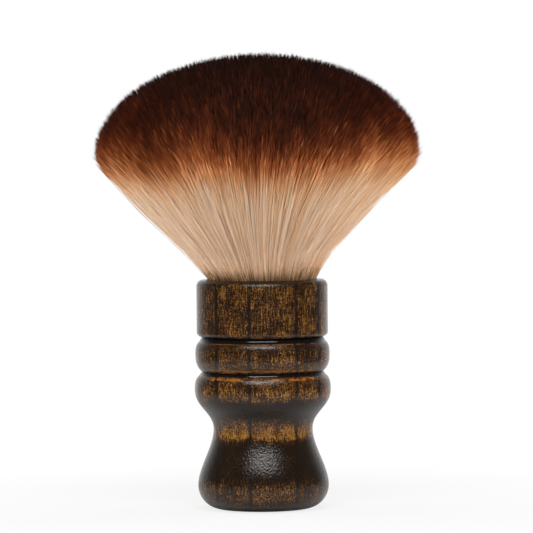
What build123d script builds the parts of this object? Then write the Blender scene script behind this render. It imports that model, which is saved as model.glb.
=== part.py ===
"""Neck duster brush: a turned, glue-laminated handle with a round fan of bristles set in its socket.

Millimetres, +Z up. The origin is the centre of the flat face that the handle stands on.
"""

from build123d import *

import math
import os

os.makedirs("parts", exist_ok=True)

# --- Handle: lengths along the axis, from the foot up ---------------------------------------------

foot_edge_radius = 7.5  # rounding from the resting face up to the widest place of the foot
foot_to_waist = 18.0
waist_to_bulge = 12.5
bulge_to_lip = 4.9
lower_lip_length = 0.7  # of the small rounded lip below the bottom of the lower groove
bead_rise = 5.85  # from the bottom of the lower groove up to the widest place of the bead
bead_to_lip = 4.15
upper_lip_length = 0.9
collar_flare_length = 1.9  # from the upper groove up to where the collar runs straight
collar_length = 16.6  # from there to the mouth of the socket

# --- Handle: radii, with what is turned in from the collar's face or stands out past it -----------

foot_radius = 20.8
collar_radius = 20.9
collar_edge_radius = 2.1  # rounding of the rim
waist_depth = 5.1
bulge_overhang = 0.8
bead_overhang = 0.5
lip_depth = 0.95  # at the outer edge of both lips
groove_depth = 1.6  # of both grooves

# How far each flowing curve keeps its first direction, as a share of its length along the axis.
foot_flow = 0.33
waist_flow_below = 0.33
waist_flow_above = 0.42
bulge_flow_below = 0.46
shoulder_flow = 0.60
shoulder_edge_flow = 0.25
shoulder_fullness = 0.65  # how far out a shoulder stays on its way in to a lip or a groove
flare_flow = 0.45
flare_fullness = 0.83
lip_curve = 1.0  # radius of the lip's rounding

# --- Handle: boards of the glued blank, side by side ----------------------------------------------

centre_board_start = -4.1  # its left glue face, measured from the axis
centre_board_width = 14.7
left_outer_board_on_collar = 6.5  # how much of each outer board is left on the collar
right_outer_board_on_collar = 2.9

# --- Socket and what fills it ---------------------------------------------------------------------

mouth_wall = 3.3  # wood between the socket and the outside of the collar
socket_depth = 16.0
adhesive_wall = 0.4
root_recess = 6.6  # from the mouth down to the top of the potted roots
backing_height = 2.0  # top slice of the potted roots, which carries the strands
thread_wall = 0.7  # thickness of the wound thread, up to the waists between its turns
thread_turns = 4
thread_crown = 0.2  # how far each turn swells past those waists
thread_clearance = 0.1  # round the backing

# --- Bristles -------------------------------------------------------------------------------------

strand_count = 440
strand_root_side = 0.85
strand_wide_side = 2.3
strand_tip_side = 0.8
strand_wide_share = 0.74  # share of a strand's free length at which it is widest
root_in_backing = 1.0  # how deep a strand starts inside the backing
bundle_gap = 0.2  # between the outermost strands and the edge of the backing
mouth_gap = 0.35  # between the outermost strands and the wall of the socket
fan_angle = 43.4  # slope of the outermost strands, from the axis, in degrees
fan_radius = 52.0  # widest radius of the trimmed dome
mouth_to_fan_widest = 40.5  # height of that widest place above the mouth
dome_rise = 31.5  # from there to the top
dome_exponent = 2.0  # 2 is an ellipse, and less is more pointed
trim_scatter = 1.6  # the most by which a strand falls short of the trimmed dome
trim_halvings = 40  # enough to find a strand's length to far below a micrometre

# --- Worked out from the sizes above --------------------------------------------------------------

waist_height = foot_edge_radius + foot_to_waist
bulge_height = waist_height + waist_to_bulge
lower_lip_height = bulge_height + bulge_to_lip
lower_groove_height = lower_lip_height + lower_lip_length
bead_height = lower_groove_height + bead_rise
upper_lip_height = bead_height + bead_to_lip
upper_groove_height = upper_lip_height + upper_lip_length
collar_start_height = upper_groove_height + collar_flare_length
mouth_height = collar_start_height + collar_length

waist_radius = collar_radius - waist_depth
bulge_radius = collar_radius + bulge_overhang
bead_radius = collar_radius + bead_overhang
lip_radius = collar_radius - lip_depth
groove_radius = collar_radius - groove_depth

left_glue = centre_board_start
right_glue = centre_board_start + centre_board_width
left_outer_glue = left_outer_board_on_collar - collar_radius
right_outer_glue = collar_radius - right_outer_board_on_collar

socket_radius = collar_radius - mouth_wall
socket_floor = mouth_height - socket_depth
plug_floor = socket_floor + adhesive_wall
plug_radius = socket_radius - adhesive_wall
backing_top = mouth_height - root_recess
plug_top = backing_top - backing_height
thread_face = plug_radius - thread_crown
thread_inside = thread_face - thread_wall
backing_radius = thread_inside - thread_clearance

golden_ratio = (1 + math.sqrt(5)) / 2
golden_angle = 2 * math.pi * (2 - golden_ratio)
fan_widest_height = mouth_height + mouth_to_fan_widest
outer_strand_radius = socket_radius - mouth_gap - strand_root_side / 2
outer_root_radius = backing_radius - bundle_gap - strand_root_side / 2
spread_per_mm = math.tan(math.radians(fan_angle)) / outer_strand_radius


def flowing_curve(start, end, flow_start, flow_end):
    """A turning's curve that leaves start and meets end along the axis, as a cubic Bezier."""
    rise = end[1] - start[1]
    return Bezier(
        start,
        (start[0], start[1] + flow_start * rise),
        (end[0], end[1] - flow_end * rise),
        end,
    )


def shoulder(widest, edge, flow, fullness, flow_at_edge):
    """A turning's curve that leaves its widest place along the axis and falls in to an edge."""
    rise = edge[1] - widest[1]
    return Bezier(
        widest,
        (widest[0], widest[1] + flow * rise),
        (edge[0] + fullness * (widest[0] - edge[0]), edge[1] - flow_at_edge * rise),
        edge,
    )


def handle_outline():
    """The half outline of the turned handle with its socket: each point is (radius, height)."""
    base_edge = (foot_radius - foot_edge_radius, 0)
    foot = (foot_radius, foot_edge_radius)
    waist = (waist_radius, waist_height)
    bulge = (bulge_radius, bulge_height)
    lower_lip = (lip_radius, lower_lip_height)
    lower_groove = (groove_radius, lower_groove_height)
    bead = (bead_radius, bead_height)
    upper_lip = (lip_radius, upper_lip_height)
    upper_groove = (groove_radius, upper_groove_height)
    collar_start = (collar_radius, collar_start_height)
    collar_end = (collar_radius, mouth_height - collar_edge_radius)
    rim = (collar_radius - collar_edge_radius, mouth_height)

    Line((0, 0), base_edge)
    RadiusArc(base_edge, foot, -foot_edge_radius)
    flowing_curve(foot, waist, foot_flow, waist_flow_below)
    flowing_curve(waist, bulge, waist_flow_above, bulge_flow_below)
    shoulder(bulge, lower_lip, shoulder_flow, shoulder_fullness, shoulder_edge_flow)
    RadiusArc(lower_lip, lower_groove, -lip_curve)
    shoulder(bead, lower_groove, shoulder_flow, shoulder_fullness, shoulder_edge_flow)
    shoulder(bead, upper_lip, shoulder_flow, shoulder_fullness, shoulder_edge_flow)
    RadiusArc(upper_lip, upper_groove, -lip_curve)
    shoulder(collar_start, upper_groove, flare_flow, flare_fullness, flare_flow)
    Line(collar_start, collar_end)
    RadiusArc(collar_end, rim, -collar_edge_radius)
    Polyline(rim, (socket_radius, mouth_height), (socket_radius, socket_floor), (0, socket_floor), (0, 0))


# --- The five boards of the handle ----------------------------------------------------------------
# The whole blank is turned at once, so every board is the same turning cut by its glue planes.

boards = [
    ("handle_stave_left_outer", None, left_outer_glue),
    ("handle_stave_left", left_outer_glue, left_glue),
    ("handle_stave_centre", left_glue, right_glue),
    ("handle_stave_right", right_glue, right_outer_glue),
    ("handle_stave_right_outer", right_outer_glue, None),
]
for board_name, left_face, right_face in boards:
    with BuildPart() as board:
        with BuildSketch(Plane.XZ):
            with BuildLine():
                handle_outline()
            make_face()
        revolve(axis=Axis.Z)
        if left_face is not None:
            split(bisect_by=Plane.YZ.offset(left_face), keep=Keep.TOP)
        if right_face is not None:
            split(bisect_by=Plane.YZ.offset(right_face), keep=Keep.BOTTOM)
    board.part.label = board_name
    export_step(board.part, f"parts/{board_name}.step")
    print(board_name, round(board.part.volume), "mm3")

# --- Cured adhesive: a thin cup between the socket and the plug -----------------------------------

with BuildPart() as socket_adhesive:
    with BuildSketch(Plane.XY.offset(socket_floor)):
        Circle(socket_radius)
    extrude(amount=plug_top - socket_floor)
    with BuildSketch(Plane.XY.offset(plug_floor)):
        Circle(plug_radius)
    extrude(amount=plug_top - plug_floor, mode=Mode.SUBTRACT)
socket_adhesive.part.label = "socket_adhesive"
export_step(socket_adhesive.part, "parts/socket_adhesive.step")

# --- Root plug: the resin that the roots are potted in --------------------------------------------

with BuildPart() as root_plug:
    with BuildSketch(Plane.XY.offset(plug_floor)):
        Circle(plug_radius)
    extrude(amount=plug_top - plug_floor)
root_plug.part.label = "root_plug"
export_step(root_plug.part, "parts/root_plug.step")

# --- Binding thread: rounded turns round the bundle, lying on the plug ----------------------------

turn_height = backing_height / thread_turns
with BuildPart() as binding_thread:
    with BuildSketch(Plane.XZ):
        with BuildLine():
            for turn in range(thread_turns):
                low = plug_top + turn * turn_height
                ThreePointArc(
                    (thread_face, low),
                    (thread_face + thread_crown, low + turn_height / 2),
                    (thread_face, low + turn_height),
                )
            Polyline(
                (thread_face, backing_top),
                (thread_inside, backing_top),
                (thread_inside, plug_top),
                (thread_face, plug_top),
            )
        make_face()
    revolve(axis=Axis.Z)
binding_thread.part.label = "binding_thread"
export_step(binding_thread.part, "parts/binding_thread.step")

# --- Bristles: strands that spread from the mouth of the socket to a trimmed dome -----------------
# Their roots lie on a sunflower spiral, and a level cut through the fan is the same spiral at any
# height, only wider. So the strands never cross.


def spread(height):
    """How many times further from the axis a strand is at a height than at the mouth."""
    if height >= mouth_height:
        return 1 + (height - mouth_height) * spread_per_mm
    bound = outer_root_radius / outer_strand_radius
    risen = max(height - backing_top, 0) / root_recess
    return bound + (1 - bound) * risen


def trim_height(mouth_radius):
    """The height at which a strand meets the trimmed dome, found by halving."""
    low, high = mouth_height, fan_widest_height + dome_rise
    for _ in range(trim_halvings):
        middle = (low + high) / 2
        across = mouth_radius * spread(middle) / fan_radius
        up = abs(middle - fan_widest_height) / dome_rise
        if across**dome_exponent + up**dome_exponent < 1 or (across < 1 and middle < fan_widest_height):
            low = middle
        else:
            high = middle
    return low


def strand(number):
    """One strand: bound in the socket, then straight out along the fan, and narrow at its tip.

    Its sections are level squares that all face away from the axis, so every side is flat.
    """
    mouth_radius = outer_strand_radius * math.sqrt((number + 0.5) / strand_count)
    bearing = number * golden_angle
    tip = trim_height(mouth_radius) - trim_scatter * (number / golden_ratio % 1)
    widest = mouth_height + strand_wide_share * (tip - mouth_height)
    stations = [
        (backing_top - root_in_backing, strand_root_side),
        (mouth_height, strand_root_side),
        (widest, strand_wide_side),
        (tip, strand_tip_side),
    ]
    rings = []
    for height, side in stations:
        out = mouth_radius * spread(height)
        centre = Vector(out * math.cos(bearing), out * math.sin(bearing), height)
        corner_reach = side / math.sqrt(2)
        corners = [bearing + math.radians(turned) for turned in (45, 135, 225, 315)]
        rings.append([centre + corner_reach * Vector(math.cos(c), math.sin(c)) for c in corners])
    faces = [Face(Wire.make_polygon(ring, close=True)) for ring in (rings[0], rings[-1])]
    for below, above in zip(rings, rings[1:]):
        for here in range(4):
            there = (here + 1) % 4
            side_corners = [below[here], below[there], above[there], above[here]]
            faces.append(Face(Wire.make_polygon(side_corners, close=True)))
    return Solid(Shell(faces))


strands = [strand(number) for number in range(strand_count)]
with BuildPart() as bristles:
    with BuildSketch(Plane.XY.offset(plug_top)):
        Circle(backing_radius)
    extrude(amount=backing_height)
    add(strands, clean=False)
bristles.part.label = "bristles"
export_step(bristles.part, "parts/bristles.step")
print("bristles", len(bristles.part.solids()), "solid,", round(bristles.part.volume), "mm3")
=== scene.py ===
# %% [markdown]
# # A neck duster brush
# A barber's neck duster stands on its foot: a handle turned from a glued and stained wooden blank, and a
# round knot of soft filaments that fans out from a socket in its top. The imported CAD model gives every
# size, so it is loaded first, as a frame that nothing here moves. The wooden boards keep their CAD
# shape and get a finish. The filaments are far too fine for CAD, so they are grown here.

# %% Load the frame
import math

import bpy
import numpy as np
from mathutils import Matrix, Quaternion, Vector


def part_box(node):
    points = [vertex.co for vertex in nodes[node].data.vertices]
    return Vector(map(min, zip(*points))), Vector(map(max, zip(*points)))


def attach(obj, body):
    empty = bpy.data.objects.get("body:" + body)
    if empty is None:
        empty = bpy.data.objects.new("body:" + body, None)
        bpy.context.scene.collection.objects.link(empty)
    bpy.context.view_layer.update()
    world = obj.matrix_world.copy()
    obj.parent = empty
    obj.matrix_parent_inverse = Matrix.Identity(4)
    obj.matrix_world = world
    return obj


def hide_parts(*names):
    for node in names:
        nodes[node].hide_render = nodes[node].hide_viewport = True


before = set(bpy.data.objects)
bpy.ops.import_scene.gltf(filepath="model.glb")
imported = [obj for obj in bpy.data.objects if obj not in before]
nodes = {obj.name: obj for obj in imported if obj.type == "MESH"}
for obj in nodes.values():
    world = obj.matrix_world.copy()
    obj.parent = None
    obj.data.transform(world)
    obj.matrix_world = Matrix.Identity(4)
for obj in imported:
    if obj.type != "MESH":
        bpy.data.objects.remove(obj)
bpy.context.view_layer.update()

MM = 0.001  # every size below is in millimetres, and Blender works in metres
print("frame:", sorted(nodes))

# %% Sizes read from the frame
mouth_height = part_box("handle_stave_centre")[1].z / MM
plug_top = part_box("root_plug")[1].z / MM
knot_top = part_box("bristles")[1].z / MM
glue_planes = [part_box(name)[1].x / MM for name in (
    "handle_stave_left_outer", "handle_stave_left", "handle_stave_centre", "handle_stave_right")]
print("mouth of the socket at", round(mouth_height, 2), "mm, top of the plug at", round(plug_top, 2), "mm")
print("glue planes at x =", [round(x, 2) for x in glue_planes], "mm")

# %% [markdown]
# # The camera
# A product photograph of this kind is taken with a long lens from about a metre away, a little above the
# middle of the object, so that its upright edges stay parallel and its rings show as very flat ellipses.
# The camera is turned by half a degree about its own axis, because the brush leans by that much.

# %% Camera
camera_place = Vector((1.5, -1200.0, 115.0)) * MM
camera_target = Vector((1.5, 0.0, 77.0)) * MM
camera_roll = math.radians(0.475)
focal_length = 254.8
sensor_width = 36.0  # both in millimetres

camera_data = bpy.data.cameras.new("camera")
camera_data.lens = focal_length
camera_data.sensor_width = sensor_width
camera = bpy.data.objects.new("camera", camera_data)
bpy.context.scene.collection.objects.link(camera)
view = camera_target - camera_place
looking = view.to_track_quat("-Z", "Y") @ Quaternion((0, 0, 1), -camera_roll)
camera.matrix_world = Matrix.LocRotScale(camera_place, looking, None)
bpy.context.scene.camera = camera
bpy.context.scene.view_settings.view_transform = "Standard"
print("camera looks down by", round(math.degrees(math.atan2(-view.z, view.y)), 2), "degrees")

# %% [markdown]
# # Small helpers for node trees
# Each finish is a tree of shader nodes. Writing one by hand repeats the same three steps: add a node, set
# its sockets, join it to another. The helpers below do them in one call, so that a tree reads like the
# sum that it works out.


# %% Node helpers
def add_node(tree, kind, inputs=None, **settings):
    """Adds a node, sets its properties, and fills its inputs with numbers or with other nodes' outputs."""
    node = tree.nodes.new(kind)
    for key, value in settings.items():
        setattr(node, key, value)
    fill(tree, node, inputs or {})
    return node


def fill(tree, node, inputs):
    """Gives each named or numbered input of a node a plain value, or links it to another node's output."""
    for key, value in inputs.items():
        if isinstance(value, bpy.types.NodeSocket):
            tree.links.new(value, node.inputs[key])
        else:
            node.inputs[key].default_value = value


def maths(tree, operation, *values):
    """The result of one Math node."""
    return add_node(tree, "ShaderNodeMath", dict(enumerate(values)), operation=operation).outputs[0]


def one_minus(tree, value):
    """1 - value, which turns a mask inside out."""
    return maths(tree, "SUBTRACT", 1.0, value)


def centred(tree, value):
    """value - 0.5, which centres a noise on zero."""
    return maths(tree, "SUBTRACT", value, 0.5)


def between(tree, value, low, high):
    """0 where the value is at low, 1 where it is at high, and a smooth step from one to the other."""
    places = {"Value": value, "From Min": low, "From Max": high}
    return add_node(tree, "ShaderNodeMapRange", places, interpolation_type="SMOOTHSTEP").outputs[0]


def ramp(tree, value, stops):
    """A colour ramp. Each stop is (place from 0 to 1, (red, green, blue)) or (place, grey)."""
    node = add_node(tree, "ShaderNodeValToRGB", {"Fac": value})
    elements = node.color_ramp.elements
    while len(elements) < len(stops):
        elements.new(0.5)
    for element, (place, colour) in zip(elements, stops):
        element.position = place
        element.color = (*colour, 1) if isinstance(colour, tuple) else (colour, colour, colour, 1)
    return node.outputs["Color"]


def mix(tree, share, first, second, blend="MIX"):
    """Mixes two colours. The Mix node's sockets 0, 6 and 7 are its share and its two colours."""
    colours = [(*value, 1) if isinstance(value, tuple) else value for value in (first, second)]
    node = add_node(tree, "ShaderNodeMix", data_type="RGBA", blend_type=blend)
    fill(tree, node, {0: share, 6: colours[0], 7: colours[1]})
    return node.outputs[2]


def noise(tree, position, scales, detail=2.0, roughness=0.5):
    """Noise with its own scale, in cycles per millimetre, along x, y and z."""
    stretched = add_node(tree, "ShaderNodeVectorMath", {0: position, 1: scales}, operation="MULTIPLY")
    places = {"Vector": stretched.outputs[0], "Scale": 1.0, "Detail": detail, "Roughness": roughness}
    return add_node(tree, "ShaderNodeTexNoise", places).outputs["Fac"]


def separate(tree, vector):
    """The X, Y and Z of a vector, by name."""
    return add_node(tree, "ShaderNodeSeparateXYZ", {0: vector}).outputs


def object_millimetres(tree):
    """The place of a surface point on its object, in millimetres."""
    place = add_node(tree, "ShaderNodeTexCoord").outputs["Object"]
    scaled = add_node(tree, "ShaderNodeVectorMath", {0: place, "Scale": 1 / MM}, operation="SCALE")
    return scaled.outputs[0]


# %% Groups and materials
finish_outputs = [("Color", "colour"), ("Roughness", "value"), ("Height", "value")]


def new_group(name, inputs, outputs):
    """A shader node group with named sockets, and the nodes that stand for its inputs and outputs."""
    kinds = {"value": "NodeSocketFloat", "vector": "NodeSocketVector", "colour": "NodeSocketColor"}
    tree = bpy.data.node_groups.new(name, "ShaderNodeTree")
    for sockets, in_out in ((inputs, "INPUT"), (outputs, "OUTPUT")):
        for socket, kind in sockets:
            tree.interface.new_socket(socket, in_out=in_out, socket_type=kinds[kind])
    return tree, tree.nodes.new("NodeGroupInput").outputs, tree.nodes.new("NodeGroupOutput").inputs


def new_material(name, **constants):
    """A material with one Principled BSDF, whose plain numbers sit on its own sockets."""
    material = bpy.data.materials.new(name)
    material.use_nodes = True
    surface = material.node_tree.nodes["Principled BSDF"]
    for socket, value in constants.items():
        surface.inputs[socket.replace("_", " ")].default_value = value
    return material, material.node_tree, surface


def raise_surface(tree, surface, height, distance):
    """Joins a height to the surface as a bump of at most that distance."""
    bump = add_node(tree, "ShaderNodeBump", {"Height": height, "Distance": distance})
    tree.links.new(bump.outputs["Normal"], surface.inputs["Normal"])


def use_group(tree, group, surface, bump_distance, inputs):
    """Places a finish group in a material: colour and roughness go to the surface, height to a bump."""
    places = {"Position": object_millimetres(tree), **inputs}
    node = add_node(tree, "ShaderNodeGroup", node_tree=group)
    fill(tree, node, places)
    fill(tree, surface, {"Base Color": node.outputs["Color"], "Roughness": node.outputs["Roughness"]})
    raise_surface(tree, surface, node.outputs["Height"], bump_distance)


def dress(node_name, material):
    """Gives a piece of the frame its finish, in place of any other."""
    mesh = nodes[node_name].data
    mesh.materials.clear()
    mesh.materials.append(material)
    print(node_name, "wears", material.name)


# %% [markdown]
# # Light, backdrop and floor
# The brush stands in a dark room before a white sweep. The sweep is narrow, so the lacquer mirrors white
# only at its outer edges. One wide softbox, in front and above, gives the mottled highlights of the
# handle. A broad fill from the front and one from each side light the filaments and the wood, but the
# lacquer doesn't mirror them. The floor is small, for the same reason. The camera sees the sweep as plain
# white through Is Camera Ray, so the background is white without more light on the object, and the floor
# still takes the object's soft shadow near the foot.

# %% World
room_level = 0.06  # brightness of the room towards the camera
sweep_level = 1.0  # brightness of the white sweep behind the object
sweep_edge = 0.38  # the sweep begins where a direction's part towards the back, from 0 to 1, is this large

world = bpy.data.worlds.new("studio")
bpy.context.scene.world = world
world.use_nodes = True
tree = world.node_tree
direction = add_node(tree, "ShaderNodeTexCoord").outputs["Generated"]
level = add_node(tree, "ShaderNodeMapRange", {
    "Value": separate(tree, direction)["Y"], "From Min": sweep_edge, "From Max": 1.0,
    "To Min": room_level, "To Max": sweep_level}, interpolation_type="SMOOTHSTEP")
seen = add_node(tree, "ShaderNodeLightPath").outputs["Is Camera Ray"]
strength = maths(tree, "MAXIMUM", level.outputs[0], seen)
fill(tree, tree.nodes["Background"], {"Color": (1, 1, 1, 1), "Strength": strength})
print("world: room", room_level, "and sweep", sweep_level)

# %% Lamps
lamp_target = Vector((0, 0, 70 * MM))  # the middle of the brush, which every lamp faces
lamps = [  # (name, degrees across, degrees up, metres away, (width, height), brightness, seen in lacquer)
    ("main_softbox", 0, 47, 0.9, (0.7, 0.34), 9.2, True),
    ("front_fill", 0, 8, 1.4, (2.0, 0.8), 2.75, False),
    ("left_fill", -110, 5, 1.0, (0.8, 0.8), 4.9, False),
    ("right_fill", 110, 5, 1.0, (0.8, 0.8), 5.4, False),
]


def softbox(name, bearing, elevation, distance, size, radiance, glossy):
    """A rectangular lamp that faces the middle of the brush, with its brightness given per area."""
    data = bpy.data.lights.new(name, "AREA")
    data.shape = "RECTANGLE"
    data.size, data.size_y = size
    data.energy = radiance * size[0] * size[1] * math.pi
    lamp = bpy.data.objects.new(name, data)
    bpy.context.scene.collection.objects.link(lamp)
    across, up = math.radians(bearing), math.radians(elevation)
    away = Vector((math.sin(across) * math.cos(up), -math.cos(across) * math.cos(up), math.sin(up)))
    facing = away.to_track_quat("Z", "Y")
    lamp.matrix_world = Matrix.LocRotScale(lamp_target + away * distance, facing, None)
    lamp.visible_glossy = glossy
    print(name, "at", bearing, "degrees across and", elevation, "degrees up")


for lamp_settings in lamps:
    softbox(*lamp_settings)

# %% Floor
shadow_share = 0.2  # how much of the floor's own light the camera sees close to the foot
shadow_start = 0.03  # metres from the axis, up to which it sees that share
shadow_reach = 0.18  # metres from the axis, where the floor becomes plain white for the camera
floor_reach = 0.2  # small, so that the lacquer mirrors the dark room and not the bright floor
floor_height = -0.0002  # just under the foot
floor_colour = (0.72, 0.72, 0.72, 1)

ends = (-floor_reach, floor_reach)
corners = [(x, y, floor_height) for y in ends for x in ends]
floor_mesh = bpy.data.meshes.new("floor")
floor_mesh.from_pydata(corners, [], [(0, 1, 3, 2)])
floor = bpy.data.objects.new("floor", floor_mesh)
bpy.context.scene.collection.objects.link(floor)

floor_paint, tree, surface = new_material(
    "floor_paint", Base_Color=floor_colour, Roughness=0.9, Specular_IOR_Level=0.0)
place = add_node(tree, "ShaderNodeTexCoord").outputs["Object"]
from_axis = add_node(tree, "ShaderNodeVectorMath", {0: place}, operation="LENGTH").outputs["Value"]
near_foot = one_minus(tree, between(tree, from_axis, shadow_start, shadow_reach))
own_share = maths(tree, "MULTIPLY", near_foot, shadow_share)
plain_white = add_node(tree, "ShaderNodeEmission", {"Color": (1, 1, 1, 1), "Strength": 1.0})
seen = add_node(tree, "ShaderNodeLightPath").outputs["Is Camera Ray"]
white_share = maths(tree, "MULTIPLY", seen, one_minus(tree, own_share))
shown = add_node(tree, "ShaderNodeMixShader", {
    0: white_share, 1: surface.outputs[0], 2: plain_white.outputs[0]})
tree.links.new(shown.outputs[0], tree.nodes["Material Output"].inputs["Surface"])
floor_mesh.materials.append(floor_paint)
print("floor shows its own light within", shadow_reach, "m of the axis")

# %% [markdown]
# # Stained wood
# The blank is five boards, glued side by side and turned. Dark stain lies unevenly on the light wood: it
# fills the pores, pools in the two grooves and on the slopes, and is rubbed through to gold on the parts
# that stand out. The fine flecks of pores and turning marks are strongest where the stain is rubbed, and
# a smaller share of them still shows where it is whole. A picture could carry that, but only for one
# view. Here it is worked out in space from the point on the wood, so it runs round the handle and over
# its end grain without a seam, and each board gets its own piece of the pattern.

# %% Where the stain is rubbed thin
black_bands = [(42.8, 43.8), (53.3, 54.95)]  # each groove with the lip below it, from height to height
rub_by_height = [  # (height in mm, how far the stain is rubbed off: 0 is fully dark, 1 is gold)
    (0.0, 0.16), (2.4, 0.30), (4.5, 0.50), (8.0, 0.42),  # the foot's rounded edge
    (11.2, 0.15), (20.5, 0.10),  # the dark slope of the foot
    (22.2, 0.30), (23.6, 0.92), (26.0, 0.86), (28.2, 0.46),  # the gold waist
    (30.0, 0.16), (34.2, 0.10),  # the dark slope under the bulge
    (35.8, 0.62), (38.2, 0.72), (39.6, 0.48), (41.0, 0.42),  # the bulge
    (44.5, 0.52), (48.5, 0.56), (51.0, 0.38), (53.0, 0.3),  # the bead between the grooves
    (55.5, 0.56), (66.0, 0.47), (70.6, 0.52), (71.6, 0.44),  # the collar
    (72.3, 0.10), (73.0, 0.0),  # the rim round the mouth
]
worn_rims = [(42.0, 0.40, 1.0), (44.6, 0.3, 0.75), (53.1, 0.16, 0.4)]  # (height, half width, strength)
print(len(rub_by_height), "heights set how gold the wood is,", len(worn_rims), "rims are worn")

# %% Noises of the wood
band_wander = 3.0  # how far noise moves the bands up or down, in mm
rub_limits = (0.08, 0.5)  # the stain is whole at the first and plainly rubbed at the second
whole_stain_share = 0.42  # share of the flecks that still shows where the stain is whole
stain_cover = 0.10  # taken off everywhere, so that the stain wins where it is hardly rubbed

stained_wood, given, result = new_group("stained_wood", [
    ("Position", "vector"), ("Shift", "vector"), ("Tone", "value"), ("Left Glue", "value"),
    ("Right Glue", "value")], finish_outputs)
tree = stained_wood
own_point = add_node(tree, "ShaderNodeVectorMath", {0: given["Position"], 1: given["Shift"]}).outputs[0]
parts = separate(tree, given["Position"])
across, height = parts["X"], parts["Z"]

streaks = noise(tree, own_point, (3.6, 3.6, 0.36))  # pores and fibres, along the board
crossing = noise(tree, own_point, (0.30, 0.30, 2.2))  # fine turning marks, round the handle
specks = noise(tree, own_point, (3.2, 3.2, 2.2), detail=1.0)  # short flecks
blotches = noise(tree, own_point, (0.24, 0.24, 0.17))  # uneven stain, over a few millimetres
wander = noise(tree, own_point, (0.5, 0.5, 0.1))  # how the bands and the glue lines waver
breaks = noise(tree, own_point, (0.42, 0.42, 0.9))  # where the worn rims are interrupted

drift = maths(tree, "MULTIPLY", centred(tree, wander), band_wander)
ragged_height = maths(tree, "DIVIDE", maths(tree, "ADD", height, drift), mouth_height)
rub = ramp(tree, ragged_height, [(z / mouth_height, value) for z, value in rub_by_height])

flecks = 0.0
for pattern, weight in ((streaks, 2.4), (crossing, 0.8), (specks, 2.0), (blotches, 1.1)):
    flecks = maths(tree, "MULTIPLY_ADD", centred(tree, pattern), weight, flecks)
rubbed = between(tree, rub, *rub_limits)
fleck_share = maths(tree, "MULTIPLY_ADD", rubbed, 1 - whole_stain_share, whole_stain_share)
amount = maths(tree, "MULTIPLY_ADD", flecks, fleck_share, maths(tree, "ADD", rub, given["Tone"]))
amount = maths(tree, "SUBTRACT", amount, stain_cover)
print("stained_wood: four noises added to the rubbing")

# %% Stain, glue lines, worn rims and grooves
stain_colours = [
    (0.00, (0.0095, 0.0058, 0.0034)), (0.25, (0.0200, 0.0098, 0.0044)), (0.48, (0.045, 0.0182, 0.0050)),
    (0.66, (0.080, 0.0325, 0.0075)), (0.86, (0.150, 0.066, 0.0140)), (1.00, (0.265, 0.124, 0.0270)),
]
glue_colour = (0.008, 0.006, 0.0055)
glue_fade = (0.2, 0.9)  # mm from a glue plane: its line fades from the first to the second
glue_gaps = (0.15, 0.5)  # of the wandering noise: the line is missing at the first, whole at the second
glue_strength = 0.92
rim_colour = (0.26, 0.086, 0.010)
rim_fade = (0.6, 1.3)  # in half widths of a rim
rim_gaps = (0.40, 0.54)  # of the breaking noise: a rim is missing at the first, whole at the second
rim_sides = (19.0, 15.0)  # mm to either side: a rim has ended at the first, and is whole at the second
groove_colour = (0.0045, 0.0042, 0.0042)
groove_fade = (0.15, 0.1)  # mm outside and inside the edge of a black band

wood = ramp(tree, amount, stain_colours)

from_plane = [maths(tree, "ABSOLUTE", maths(tree, "SUBTRACT", across, given[plane]))
              for plane in ("Left Glue", "Right Glue")]
lines = [one_minus(tree, between(tree, off, *glue_fade)) for off in from_plane]
glue = maths(tree, "MULTIPLY", maths(tree, "MAXIMUM", *lines), between(tree, wander, *glue_gaps))
wood = mix(tree, maths(tree, "MULTIPLY", glue, glue_strength), wood, glue_colour)

rim_breaks = maths(tree, "MULTIPLY", breaks, between(tree, maths(tree, "ABSOLUTE", across), *rim_sides))
for rim_height, half_width, rim_strength in worn_rims:
    off = maths(tree, "ABSOLUTE", maths(tree, "SUBTRACT", height, rim_height))
    band = one_minus(tree, between(tree, off, half_width * rim_fade[0], half_width * rim_fade[1]))
    worn = maths(tree, "MULTIPLY", band, between(tree, rim_breaks, *rim_gaps))
    wood = mix(tree, maths(tree, "MULTIPLY", worn, rim_strength), wood, rim_colour)

fade_out, fade_in = groove_fade
bands = [maths(tree, "MULTIPLY", between(tree, height, bottom - fade_out, bottom + fade_in),
               between(tree, height, top + fade_out, top - fade_in)) for bottom, top in black_bands]
groove = maths(tree, "MAXIMUM", *bands)
tree.links.new(mix(tree, groove, wood, groove_colour), result["Color"])
print("stained_wood: colours from", stain_colours[0][1], "to", stain_colours[-1][1])

# %% Lacquer over the grain
pore_share = 0.5  # depth of the pores, against the lacquer's own fine ripple
groove_flatness = 0.8
satin_roughness, speck_roughness, groove_roughness = 0.09, 0.14, -0.10  # added up
ripple = noise(tree, own_point, (1.5, 1.5, 1.5))
surface_height = maths(tree, "MULTIPLY_ADD", streaks, pore_share, ripple)
level_off = one_minus(tree, maths(tree, "MULTIPLY", groove, groove_flatness))
tree.links.new(maths(tree, "MULTIPLY", surface_height, level_off), result["Height"])
satin = maths(tree, "MULTIPLY_ADD", specks, speck_roughness, satin_roughness)
tree.links.new(maths(tree, "MULTIPLY_ADD", groove, groove_roughness, satin), result["Roughness"])
print("stained_wood: satin lacquer, smoother in the grooves")

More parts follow.
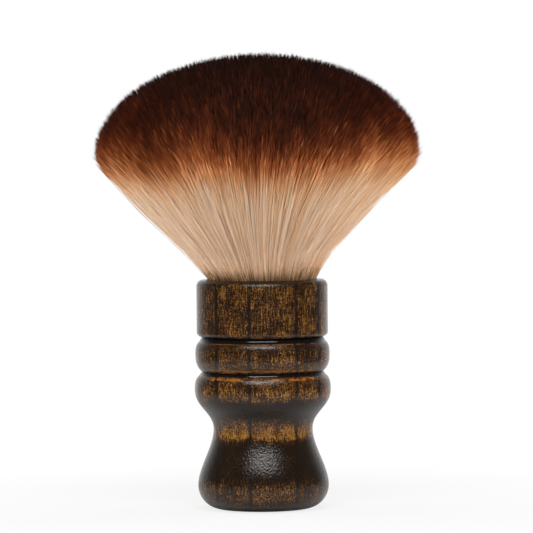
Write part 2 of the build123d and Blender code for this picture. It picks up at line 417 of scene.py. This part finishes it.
# %% One finish per board
no_glue = 100.0  # an outer board has a glue plane on one side only, so the other lies far outside
planes = [-no_glue, *glue_planes, no_glue]
boards = [  # from left to right: (name, shift of the pattern in mm, how much more rubbed than usual)
    ("handle_stave_left_outer", (31.0, 5.0, 12.0), -0.10),
    ("handle_stave_left", (3.0, 47.0, 2.0), 0.02),
    ("handle_stave_centre", (62.0, 8.0, 33.0), 0.00),
    ("handle_stave_right", (14.0, 71.0, 54.0), -0.07),
    ("handle_stave_right_outer", (91.0, 23.0, 8.0), 0.02),
]
for (board, shift, tone), left_glue, right_glue in zip(boards, planes, planes[1:]):
    board_wood, tree, surface = new_material(board + "_wood", Specular_IOR_Level=0.34)
    use_group(tree, stained_wood, surface, 0.11 * MM, {
        "Shift": shift, "Tone": tone, "Left Glue": left_glue, "Right Glue": right_glue})
    dress(board, board_wood)

# %% [markdown]
# # The pieces inside the socket
# The roots of the knot are potted in a plug of cast resin, the bundle is bound with wound thread, and a
# thin cup of cured adhesive holds the plug in the wood. They hardly show, but each has the finish of the
# real thing.

# %% Cast resin and cured adhesive
cloud_edge = (0.35, 0.65)  # of the clouds' noise, from clear to cloudy
pit_size = (0.08, 0.22)  # from the bottom of a pit to its rim, in cells of the bubbles' pattern
pit_shade_strength = 0.4  # how much painted shade darkens the small pits
pit_depth = 0.8
pit_shade_colour = (0.12, 0.08, 0.04)

cast_surface, given, result = new_group("cast_surface", [
    ("Position", "vector"), ("Clear", "colour"), ("Cloudy", "colour"), ("Gloss", "value")], finish_outputs)
tree = cast_surface
clouds = noise(tree, given["Position"], (0.25, 0.25, 0.25), detail=4.0)
bubbles = add_node(tree, "ShaderNodeTexVoronoi", {"Vector": given["Position"], "Scale": 1.1})
pits = one_minus(tree, between(tree, bubbles.outputs["Distance"], *pit_size))
tinted = mix(tree, between(tree, clouds, *cloud_edge), given["Clear"], given["Cloudy"])
# painted shade in the small pits
pit_shaded = mix(tree, maths(tree, "MULTIPLY", pits, pit_shade_strength), tinted, pit_shade_colour)
tree.links.new(pit_shaded, result["Color"])
tree.links.new(maths(tree, "MULTIPLY_ADD", clouds, 0.25, given["Gloss"]), result["Roughness"])
tree.links.new(maths(tree, "SUBTRACT", clouds, maths(tree, "MULTIPLY", pits, pit_depth)), result["Height"])


def cast_finish(name, clear, cloudy, gloss, bump_distance, specular):
    """A poured and hardened surface: cloudy colour, small pits from bubbles with painted shade in them, and
    a soft gloss.
    """
    material, tree, surface = new_material(name + "_finish", Specular_IOR_Level=specular)
    use_group(tree, cast_surface, surface, bump_distance, {
        "Clear": (*clear, 1), "Cloudy": (*cloudy, 1), "Gloss": gloss})
    return material


for cast, clear, cloudy, gloss in (
        ("root_plug", (0.60, 0.50, 0.34), (0.46, 0.36, 0.22), 0.35),
        ("socket_adhesive", (0.72, 0.58, 0.32), (0.60, 0.44, 0.20), 0.12)):
    dress(cast, cast_finish(cast, clear, cloudy, gloss, 0.15 * MM, 0.5))

# %% Wound thread
plies_around = 90.0  # how fast the plies turn, in radians for each radian round the ring
plies_upward = 14.0  # and for each millimetre of height

thread_finish, tree, surface = new_material("binding_thread_finish", Sheen_Weight=0.2)
point = object_millimetres(tree)
parts = separate(tree, point)
turn = maths(tree, "ARCTAN2", parts["Y"], parts["X"])
twist = maths(tree, "MULTIPLY_ADD", turn, plies_around, maths(tree, "MULTIPLY", parts["Z"], plies_upward))
ply = maths(tree, "MULTIPLY_ADD", maths(tree, "SINE", twist), 0.5, 0.5)
fuzz = noise(tree, point, (3.0, 3.0, 6.0), detail=3.0)
# Painted shade: the thread is darker in the hollows between its plies and lighter on their crests.
ply_shaded_tint = ramp(tree, ply, [
    (0.0, (0.42, 0.36, 0.27)), (0.5, (0.68, 0.61, 0.48)), (1.0, (0.80, 0.74, 0.62))])
fuzzy_tint = mix(tree, maths(tree, "MULTIPLY", fuzz, 0.35), ply_shaded_tint, (0.55, 0.47, 0.35))
fuzzy_roughness = maths(tree, "MULTIPLY_ADD", fuzz, 0.3, 0.5)
fill(tree, surface, {"Base Color": fuzzy_tint, "Roughness": fuzzy_roughness})
raise_surface(tree, surface, maths(tree, "ADD", ply, maths(tree, "MULTIPLY", fuzz, 0.4)), 0.08 * MM)
dress("binding_thread", thread_finish)

# %% [markdown]
# # The dye of the filaments
# Each filament is cream from its root, turns amber, then red-brown, and is nearly black at its tip,
# because the ends of the knot are dipped. Towards and inside the mouth of the socket the colour is also
# darker, as painted shade where the socket and collar shade the roots. So the colour depends on how far
# along its filament a point is, and not on its place in space. Every filament carries that distance up its
# map, with its own number across the map, and the colour is worked out from the map alone. Two noises of
# the number make filaments that are lighter or darker than their neighbours and took up the dye a little
# higher or lower. The part that took no dye has a sheer gloss, and there the loose filaments round the knot
# are painted paler, a painted glow that stands in for light shining through them.

# %% Sizes on the map
root_below_mouth = mouth_height - plug_top
map_length = 92.0  # millimetres of filament that the map's height stands for
loose_numbers = 0.93  # filaments with a higher number than this are the loose ones, which get the painted glow
number_fade = 0.02  # below that number, over which the painted glow sets in
tone_scatter = 0.8  # how much lighter or darker a filament is than its neighbours
dye_scatter = 0.42  # how far its dye starts higher or lower, in heights of the map
sheer_from, sheer_full_from = 0.0, 8.0  # mm from the mouth where the sheer gloss begins and is whole
sheer_full_to, sheer_to = 34.0, 50.0  # where it starts to fade and has gone
# Painted glow: the undyed part of the loose filaments is painted paler, standing in for light shining
# through them.
backlight_glow_share = 0.55
backlight_glow_colour = (1.0, 0.86, 0.74)
dye_and_mouth_shade_by_length = [  # (mm from the mouth of the socket, colour)
    # Below the mouth and up to 7 mm above it, the stops paint the roots darker: painted shade where the
    # socket and collar shade them, not dye.
    (-8.0, (0.16, 0.08, 0.035)), (0.0, (0.15, 0.080, 0.035)), (1.6, (0.38, 0.215, 0.102)),
    (4.0, (0.86, 0.56, 0.31)), (7.0, (1.0, 0.660, 0.365)), (29.0, (1.0, 0.660, 0.365)),
    (34.9, (0.99, 0.630, 0.325)), (39.9, (0.90, 0.490, 0.218)), (44.5, (0.73, 0.318, 0.118)),
    (47.8, (0.455, 0.146, 0.045)), (50.6, (0.228, 0.056, 0.0150)), (53.6, (0.101, 0.0200, 0.0058)),
    (57.4, (0.040, 0.0070, 0.0026)), (62.5, (0.0165, 0.0033, 0.0018)), (68.5, (0.0070, 0.0022, 0.0019)),
    (77.0, (0.0030, 0.0018, 0.0020)),
]


def on_map(length):
    """Height on the map, from 0 to 1, of the point that is so many millimetres from the mouth."""
    return (length + root_below_mouth) / map_length


print("the mouth lies at", round(on_map(0.0), 3), "of the map's height")

# %% Filament dye group, with painted shade at the mouth and a painted glow
filament_dye_and_painted_light, given, result = new_group(
    "filament_dye_and_painted_light", [("Across", "value"), ("Along", "value")],
    [("Color", "colour"), ("Roughness", "value"), ("Sheer", "value")])
tree = filament_dye_and_painted_light
number = add_node(tree, "ShaderNodeCombineXYZ", {"X": given["Across"]}).outputs[0]
other_number = add_node(tree, "ShaderNodeVectorMath", {0: number, 1: (3.0, 7.0, 0.0)}).outputs[0]
lighter = noise(tree, number, (24.0, 0.0, 0.0))
higher = noise(tree, other_number, (31.0, 1.0, 1.0))

raised = maths(tree, "MULTIPLY_ADD", centred(tree, higher), dye_scatter, given["Along"])
# the dye along the filament, with painted shade at the roots near the mouth
dyed_and_mouth_shaded = ramp(tree, raised, [(on_map(length), colour) for length, colour in dye_and_mouth_shade_by_length])
level = maths(tree, "MULTIPLY_ADD", centred(tree, lighter), tone_scatter, 1.0)
undyed = maths(tree, "MULTIPLY", between(tree, raised, on_map(sheer_to), on_map(sheer_full_to)),
               between(tree, given["Along"], on_map(sheer_from), on_map(sheer_full_from)))
# painted glow on the undyed part of the loose filaments, in place of light shining through them
gets_backlight_glow = between(tree, given["Across"], loose_numbers - number_fade, loose_numbers)
backlight_glow = maths(tree, "MULTIPLY", maths(tree, "MULTIPLY", gets_backlight_glow, undyed), backlight_glow_share)
coloured = mix(tree, backlight_glow, dyed_and_mouth_shaded, backlight_glow_colour)
tree.links.new(mix(tree, 1.0, coloured, level, "MULTIPLY"), result["Color"])
tree.links.new(maths(tree, "MULTIPLY_ADD", lighter, 0.2, 0.3), result["Roughness"])
tree.links.new(undyed, result["Sheer"])
print("filament dye runs over", map_length, "mm")

# %% Filament material
filament, tree, surface = new_material(
    "filament", Specular_IOR_Level=0.12, Specular_Tint=(1.0, 0.5, 0.3, 1.0), Coat_Roughness=0.45,
    Coat_IOR=1.8)
own_map = separate(tree, add_node(tree, "ShaderNodeUVMap", uv_map="OFBake").outputs[0])
dye = add_node(tree, "ShaderNodeGroup", node_tree=filament_dye_and_painted_light)
fill(tree, dye, {"Across": own_map["X"], "Along": own_map["Y"]})
fill(tree, surface, {"Base Color": dye.outputs["Color"], "Roughness": dye.outputs["Roughness"],
                     "Coat Weight": dye.outputs["Sheer"]})
print("filament material made")

# %% [markdown]
# # The shape of the knot
# At the mouth of the socket the filaments fill a disc. They leave it nearly upright and soon bend out to
# their own slope, the outer ones to the steepest, like rays. A maker then trims the ends to a dome. So a
# filament's place in the disc decides its whole course, and its length is where that course meets the
# dome. That gives the real knot's look from every side, and no filament crosses another by much. The
# whole knot sways a little to the left on its way up, and its right side is a trace longer.

# %% Sizes of the knot
mouth_spread = 17.1  # radius of the bundle at the mouth
fan_slope = math.tan(math.radians(47.9))  # of the outermost filaments, from the axis
hugging = 6.9  # how far inwards the outermost filaments stay, because they leave the mouth upright
hugging_height = 5.5
dome_radius = 51.8
dome_centre = mouth_height + 40.5  # height of the dome's widest place
dome_rise = knot_top - dome_centre + 0.25  # the thin points reach a little over the solid's top
dome_power = 2.0
lean = -1.5  # sideways sway of the whole knot, along x
lean_height = 30.0  # height above the mouth where it sways most
lean_power = 1.4
lopsided = 0.006  # how much longer the filaments on the right are than those at the axis
print("dome: radius", dome_radius, "mm, rises", round(dome_rise, 1), "mm above its widest place")


# %% Courses of the filaments
def reach(height):
    """Distance of the outermost filament from the axis at a height h over the mouth.

    mouth_spread + fan_slope * h - hugging * (1 - exp(-h / hugging_height)), in millimetres
    """
    return mouth_spread + fan_slope * height - hugging * (1 - np.exp(-height / hugging_height))


def trimmed_height(share):
    """How far above the mouth each filament meets the dome, found by halving an interval for all at once.

    A filament at height h above the mouth is share * reach(h) from the axis. The dome is
    (across / radius) ** power + (up / rise) ** power = 1 above its widest place, and an upright wall below.
    """
    low = np.zeros_like(share)
    high = np.full_like(share, dome_centre + dome_rise - mouth_height)
    halvings = 30
    for _ in range(halvings):
        middle = (low + high) / 2
        across = share * reach(middle) / dome_radius
        up = np.maximum(middle + mouth_height - dome_centre, 0) / dome_rise
        inside = across**dome_power + up**dome_power < 1
        low, high = np.where(inside, middle, low), np.where(inside, high, middle)
    return low


def sway(height):
    """The knot's sideways shift at a height h over the mouth.

    lean * (h / lean_height * exp(1 - h / lean_height)) ** lean_power, in millimetres
    """
    rise = np.maximum(height, 0) / lean_height
    return lean * (rise * np.exp(1 - rise)) ** lean_power


# %% Plan of the filaments
filament_count = 60000
share_scatter = 0.0022
random = np.random.default_rng(20)
golden_turn = math.pi * (3 - math.sqrt(5))  # between neighbours, so that they fill the disc evenly

order = np.arange(filament_count) + 0.5
share = np.sqrt(order / filament_count)  # place in the disc, from 0 at the axis to 1 at its edge
bearing = order * golden_turn
share = np.clip(share + random.normal(0, share_scatter, filament_count), 0, 1)
length_up = trimmed_height(share) * (1 + lopsided * share * np.cos(bearing))
shortest, longest = float(length_up.min()), float(length_up.max())
print(filament_count, "filaments, from", round(shortest, 1), "to", round(longest, 1), "mm high")

# %% Tufts
# Soft ends cling together in small tufts. The dome is divided into jittered cells, and each filament is
# drawn a little towards the middle of its own cell. A cell also has its own tone and its own trim.
tuft_size = 1.3
tuft_pull = 0.45
jitter = 0.35  # how far a cell's middle is moved, in cells
tuft_trim = 0.25  # spread of the cells' own trim
cells_wide = 100
tip_across = share * reach(length_up)
tip_place = np.stack([tip_across * np.cos(bearing), tip_across * np.sin(bearing)], axis=1)
cell = np.floor(tip_place / tuft_size).astype(int)
cell_number = (cell[:, 0] + cells_wide // 2) * cells_wide + cell[:, 1] + cells_wide // 2
cell_jitter = random.uniform(-jitter, jitter, (cells_wide**2, 2))
cell_tone = random.uniform(0.0, 1.0, cells_wide**2)
cell_trim = random.normal(0, tuft_trim, cells_wide**2)
tuft_centre = (cell + 0.5 + cell_jitter[cell_number]) * tuft_size
to_tuft = (tuft_centre - tip_place) * tuft_pull
print("tufts:", len(np.unique(cell_number)))

# %% Ends
# Scissors don't cut every end to the same height. The ends scatter more towards the edge of the knot, its
# very corner is rounded off, and a few filaments there were missed and stay long.
edge_from, corner_from = 0.90, 0.94  # places in the disc where the edge and the corner begin
inner_scatter = 0.45
edge_scatter = 3.4  # added at the very edge
corner_loss = 1.3
most_overlong = 1.5
trim_limits = (-0.6, 9.0)
stray_spread = 0.35  # how far an end strays to any side
bow_spread = 0.25  # how far a filament bows out half way
at_edge = np.clip((share - edge_from) / (1 - edge_from), 0, 1)  # from 0 inside the knot to 1 at its edge
at_corner = np.clip((share - corner_from) / (1 - corner_from), 0, 1)
trim_loss = np.abs(random.normal(0, inner_scatter + edge_scatter * at_edge**2, filament_count))
trim_loss += cell_trim[cell_number] + corner_loss * at_corner**2
overlong = most_overlong * at_edge * random.random(filament_count) ** 3
length_up = length_up - np.clip(trim_loss, *trim_limits) + overlong
stray = random.normal(0, stray_spread, (filament_count, 2))
bow = random.normal(0, bow_spread, (filament_count, 2))
print("ends scattered over", round(float(np.ptp(trim_loss)), 1), "mm")

# %% Loose filaments
# The outermost filaments of a real knot don't lie close. Some stand off from it, fewer and fewer outwards,
# so the background shows between them and the sides of the knot look sheer.
loose_share = 0.93  # only filaments further out in the disc than this can be loose
loose_chance = 0.22
loose_reach = 4.0  # how far the loosest filament stands off
right_tidiness = 0.4  # how much less they stand off on the right of the knot
loose_top = 37.0  # height over the mouth where they lie close again
loose_fade = 17.0  # over this last part of it
loose_start = 3.0
is_loose = (share > loose_share) & (random.random(filament_count) < loose_chance)
stand_off = np.where(is_loose, loose_reach * random.random(filament_count) ** 2, 0)
stand_off *= 1 - right_tidiness * np.clip(np.cos(bearing), 0, 1)
print(int(is_loose.sum()), "filaments stand off the knot")


def loosening(height):
    """The part of its stand-off that a loose filament has at a height h over the mouth.

    (1 - exp(-h / loose_start)) * min((loose_top - h) / loose_fade, 1), and never less than none
    """
    start = 1 - np.exp(-np.maximum(height, 0) / loose_start)
    return start * np.clip((loose_top - height) / loose_fade, 0, 1)


# %% [markdown]
# # The filaments as surfaces
# Each filament is a closed three-sided tube: a ring at its root, one at the mouth, three on the way and a
# point. Three sides are enough, because a filament is thinner than a pixel, and they keep sixty thousand
# of them within reach. All the rings of all the filaments are worked out as one array.

# %% Rings and points
point_length = 3.5  # the tapered end of a filament
ring_shares = [0.0, 0.25, 0.6, 1 - point_length / length_up]  # of the way from the mouth to the tip
radii = np.array([0.055, 0.065, 0.095, 0.150, 0.165])  # at the root, then at each of these
root_share = 0.92  # the bundle is a little narrower at the plug than at the mouth
sides = 3


def course(at):
    """Centre of each filament at a share of its way from the mouth to its tip, as an (n, 3) array.

    The bent ray is moved by the knot's sway, by a bow that is largest half way, by a stray that grows with
    the square of the way, and by the pull of the tuft, which grows with its cube.
    """
    up = at * length_up
    out = share * reach(up) + stand_off * loosening(up)
    way = np.broadcast_to(at, up.shape)[:, None]
    bend = to_tuft * way**3 + stray * way**2 + bow * np.sin(math.pi * way)
    x = out * np.cos(bearing) + sway(up) + bend[:, 0]
    y = out * np.sin(bearing) + bend[:, 1]
    return np.stack([x, y, mouth_height + up], axis=1)


centres = [course(at) for at in ring_shares]
root = centres[0] * (root_share, root_share, 1)
root[:, 2] = plug_top
tips = course(1.0)
spine = np.stack([root] + centres + [tips], axis=1)
print("spine points per filament:", spine.shape[1])

# %% Skin round the rings
loose_thinness = 0.6  # of a loose filament, against the others
along = np.gradient(spine, axis=1)[:, :-1]
along /= np.linalg.norm(along, axis=2, keepdims=True)
level_side = np.stack([-np.sin(bearing), np.cos(bearing), np.zeros_like(bearing)], axis=1)[:, None, :]
other_side = np.cross(along, level_side)
turn_start = random.uniform(0, 2 * math.pi, filament_count)
thickness = random.uniform(0.8, 1.2, filament_count) * np.where(is_loose, loose_thinness, 1.0)
corner_turns = turn_start[:, None] + np.arange(sides) * 2 * math.pi / sides
cosines = np.cos(corner_turns)[:, None, :, None]
sines = np.sin(corner_turns)[:, None, :, None]
offsets = cosines * level_side[:, :, None, :] + sines * other_side[:, :, None, :]
offsets = offsets * (radii[None, :, None, None] * thickness[:, None, None, None])
skin = spine[:, :-1, None, :] + offsets
points = np.concatenate([skin.reshape(filament_count, -1, 3), tips[:, None, :]], axis=1) * MM
rings = skin.shape[1]
print("points per filament:", points.shape[1])

# %% [markdown]
# # Where the dye starts
# The knot was dipped as a whole, so the dye doesn't start at the same length on every filament. It starts
# higher at both sides, and a little more so on the right. Whole locks of the knot took it a little higher
# or lower than their neighbours, which makes its edge ragged. Some tufts took up less of it, so their
# dark ends stay red-brown. Each of these shifts the filament's place on the map, and none its shape.

# %% Numbers of the filaments
tuft_share = 0.5  # how much of its number a filament has from its tuft, and the rest is its own
number_gap = 0.03  # kept free below the numbers of the loose filaments
number_limits = (0.003, 0.997)
own_number = tuft_share * cell_tone[cell_number] + (1 - tuft_share) * random.random(filament_count)
loose_number = loose_numbers + (1 - loose_numbers) * random.random(filament_count)
own_number = np.where(is_loose, loose_number, own_number * (loose_numbers - number_gap))
own_number = np.clip(own_number, *number_limits)
print("numbers from", round(float(own_number.min()), 3), "to", round(float(own_number.max()), 3))

# %% Lengths of the filaments
steps = np.linalg.norm(np.diff(spine, axis=1), axis=2)
travelled = np.concatenate([np.zeros((filament_count, 1)), np.cumsum(steps, axis=1)], axis=1)
print("longest filament:", round(float(travelled[:, -1].max()), 1), "mm from its root")
travelled += root_below_mouth - travelled[:, 1:2]  # the mouth has one place on the map for every filament

# %% Locks that took the dye differently
dye_slant = 1.5  # how much further up the dye starts on the right than at the axis
dye_lift = 3.2  # how much further up it starts on both sides than in front
dye_settling = 18.0  # mm from the mouth over which the shifts come in
dye_locks = [(7.5, 1.3), (2.6, 1.3)]  # (size of a lock at the dome, how far its dye shifts), in mm
grid_reach = 80  # mm from the axis, beyond the dome on every side
thin_start = 49.0  # mm from the mouth, above which a thinly dyed filament stays lighter
thin_most = 0.66  # share of its further way that the dye is held back by, at most
thin_from = 0.45  # filaments with a lower thinness than this are dyed like the rest
lock_random = np.random.default_rng(343)  # of 6000 seeds, the one whose locks lie most like the photo's


def patches(place, size):
    """A smooth random value at each place: numbers drawn on a square grid, blended between its corners.

    The blend over a cell goes by t * t * (3 - 2 * t), where t runs from 0 to 1 along its side.
    """
    half = int(grid_reach / size)
    grid = lock_random.normal(0, 1, (2 * half, 2 * half))
    at = place / size + half
    low = np.floor(at).astype(int)
    part = at - low
    part = part * part * (3 - 2 * part)
    (i, j), (u, v) = low.T, part.T
    near = grid[i, j] * (1 - u) + grid[i + 1, j] * u
    far = grid[i, j + 1] * (1 - u) + grid[i + 1, j + 1] * u
    return near * (1 - v) + far * v


settled = np.clip((travelled - root_below_mouth) / dye_settling, 0, 1)
side_shift = share * (dye_slant * np.cos(bearing) + dye_lift * np.cos(bearing) ** 2)
lock_shift = sum(shift * patches(tip_place, size) for size, shift in dye_locks)
travelled -= settled * (side_shift + lock_shift)[:, None]

thinness = tuft_share * lock_random.random(cells_wide**2)[cell_number]
thinness += (1 - tuft_share) * lock_random.random(filament_count)
held_back = thin_most * np.clip((thinness - thin_from) / (1 - thin_from), 0, 1)
travelled -= held_back[:, None] * np.maximum(travelled - root_below_mouth - thin_start, 0)
print("locks shift the dye by", round(float(np.ptp(lock_shift)), 1), "mm in all")

# %% Places on the map
map_half_width = 0.0016  # half of what one filament takes across the map
root_width = 0.3  # mm along the map, so that the root's end face has an area on it
height_limits = (0.001, 0.999)
ring_along = np.repeat(travelled[:, :-1], sides, axis=1)
ring_along[:, 1] += root_width
map_along = np.concatenate([ring_along, travelled[:, -1:]], axis=1) / map_length
corner_across = np.tile((np.arange(sides) - 1) * map_half_width, rings)
map_across = own_number[:, None] + np.concatenate([corner_across, [0.0]])
map_places = np.stack([map_across, np.clip(map_along, *height_limits)], axis=2)
print("places on the map:", map_places.shape[0] * map_places.shape[1])

# %% Faces of one filament
first = np.arange(sides)
after = (first + 1) % sides
faces = [first[None, ::-1]]
for ring in range(rings - 1):
    low, high = ring * sides, (ring + 1) * sides
    faces.append(np.stack([low + first, low + after, high + after], axis=1))
    faces.append(np.stack([low + first, high + after, high + first], axis=1))
last = (rings - 1) * sides
faces.append(np.stack([last + first, last + after, np.full(sides, rings * sides)], axis=1))
one_filament = np.concatenate(faces)
print("triangles per filament:", len(one_filament))


# %% Locks
def filament_lock(name, chosen):
    """One mesh of the chosen filaments, with their own map, in the filament material."""
    count = len(chosen)
    per_filament = points.shape[1]
    corners = (one_filament[None] + np.arange(count)[:, None, None] * per_filament).reshape(-1)
    mesh = bpy.data.meshes.new(name)
    mesh.vertices.add(count * per_filament)
    mesh.vertices.foreach_set("co", points[chosen].astype(np.float32).ravel())
    mesh.loops.add(len(corners))
    mesh.loops.foreach_set("vertex_index", corners.astype(np.int32))
    mesh.polygons.add(len(corners) // 3)
    mesh.polygons.foreach_set("loop_start", np.arange(0, len(corners), 3, dtype=np.int32))
    mesh.update(calc_edges=True)
    mesh.polygons.foreach_set("use_smooth", np.ones(len(corners) // 3, dtype=bool))
    own = mesh.uv_layers.new(name="OFBake")
    own.data.foreach_set("uv", map_places[chosen].reshape(-1, 2)[corners].astype(np.float32).ravel())
    mesh.materials.append(filament)
    lock = bpy.data.objects.new(name, mesh)
    bpy.context.scene.collection.objects.link(lock)
    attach(lock, "root")
    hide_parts("bristles")
    print(name, "has", count, "filaments and", len(corners) // 3, "triangles")


lock_count = 9
sector = np.floor((bearing % (2 * math.pi)) / (2 * math.pi) * lock_count).astype(int)
for number in range(lock_count):
    filament_lock(f"filament_lock_{number + 1}", np.flatnonzero(sector == number))

# %% [markdown]
# # The potted roots
# Above the plug the roots still stand in a thin skin of resin, which closes the bottom of the bundle. It
# is a low disc with a softly rounded rim, turned from one profile.

# %% Root backing
backing_radius = 16.1
backing_height = 1.0
around = 64  # points round the disc
rim_rings = 6
rim_share = 0.92  # of the quarter round, after which the top is closed by a shallow cone


def turned_disc(name, radius, height, base):
    """A closed disc: a quarter-round profile carried round the axis, closed to a point above and below.

    The profile is (radius * cos t, height * sin t) for t from 0 to rim_share of a quarter turn.
    """
    turn = np.arange(around) * 2 * math.pi / around
    rise = np.linspace(0, rim_share * math.pi / 2, rim_rings)
    across = radius * np.cos(rise)
    grid = np.stack([np.outer(across, np.cos(turn)), np.outer(across, np.sin(turn)),
                     np.outer(base + height * np.sin(rise), np.ones(around))], axis=2).reshape(-1, 3)
    below, above = len(grid), len(grid) + 1
    places = np.concatenate([grid, [[0, 0, base], [0, 0, base + height]]]) * MM
    here = np.arange(around)
    there = (here + 1) % around
    faces = []
    for ring in range(rim_rings - 1):
        low, high = ring * around, (ring + 1) * around
        faces += np.stack([low + here, low + there, high + there, high + here], axis=1).tolist()
    top = (rim_rings - 1) * around
    faces += np.stack([there, here, np.full(around, below)], axis=1).tolist()
    faces += np.stack([top + here, top + there, np.full(around, above)], axis=1).tolist()
    mesh = bpy.data.meshes.new(name)
    mesh.from_pydata(places.tolist(), [], faces)
    mesh.polygons.foreach_set("use_smooth", np.ones(len(faces), dtype=bool))
    disc = bpy.data.objects.new(name, mesh)
    bpy.context.scene.collection.objects.link(disc)
    return disc


root_backing = turned_disc("root_backing", backing_radius, backing_height, plug_top)
root_backing.data.materials.append(cast_finish(
    "root_backing", (0.50, 0.36, 0.22), (0.38, 0.26, 0.15), 0.4, 0.1 * MM, 0.4))
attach(root_backing, "root")
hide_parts("bristles")
print("root_backing sits at", round(plug_top, 2), "mm")
